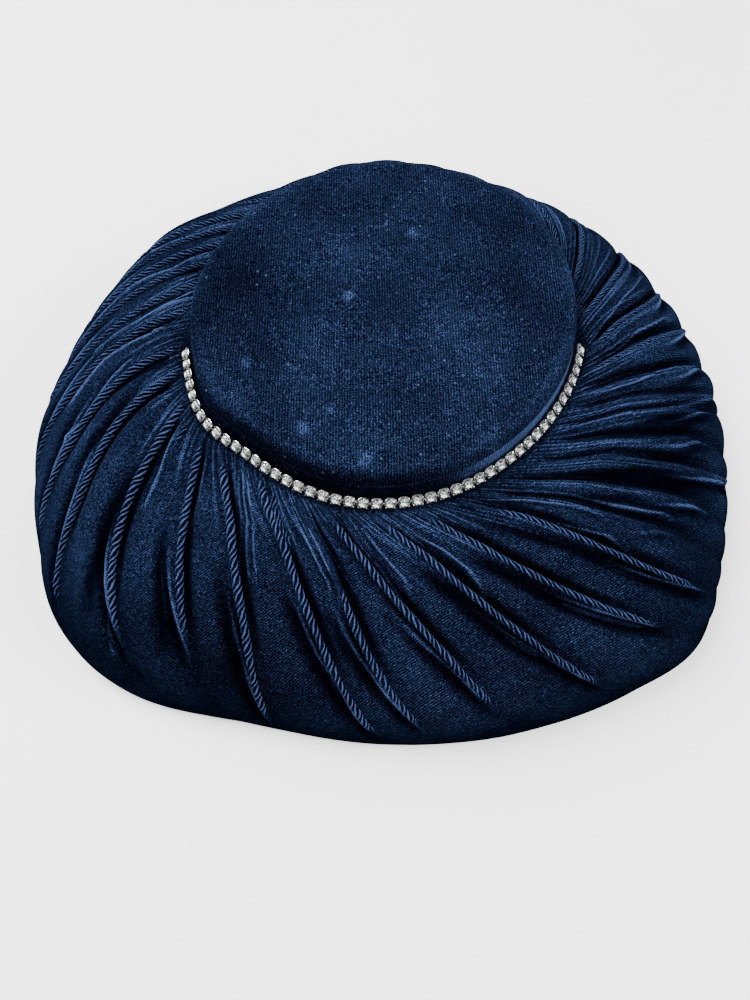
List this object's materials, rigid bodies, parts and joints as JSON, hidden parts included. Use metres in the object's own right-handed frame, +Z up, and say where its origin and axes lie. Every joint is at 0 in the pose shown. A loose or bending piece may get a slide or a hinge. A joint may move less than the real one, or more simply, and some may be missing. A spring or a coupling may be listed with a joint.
{
  "type": "platter hat",
  "caption": "Low round velvet crown on a wide puffed brim with swirling stitched tucks and a chain of clear stones round its front, worn on the head.",
  "frame": {"origin": "middle of the brim's box, on the flat lower edge that the hat rests on", "axes": "+Z up through the crown, -Y towards the front of the hat, +X to the right as seen from the front"},
  "size_m": [0.353, 0.3172, 0.0903],
  "materials": {
    "navy_velvet": "dark navy blue cotton velvet with a soft sheen and a little crushed",
    "silver_setting": "bright silver-toned cups that hold clear stones",
    "clear_stone": "clear cut glass"
  },
  "bodies": {
    "root": {"crown": "navy_velvet", "brim": "navy_velvet", "rhinestone_band": "silver_setting"}
  },
  "joints": []
}
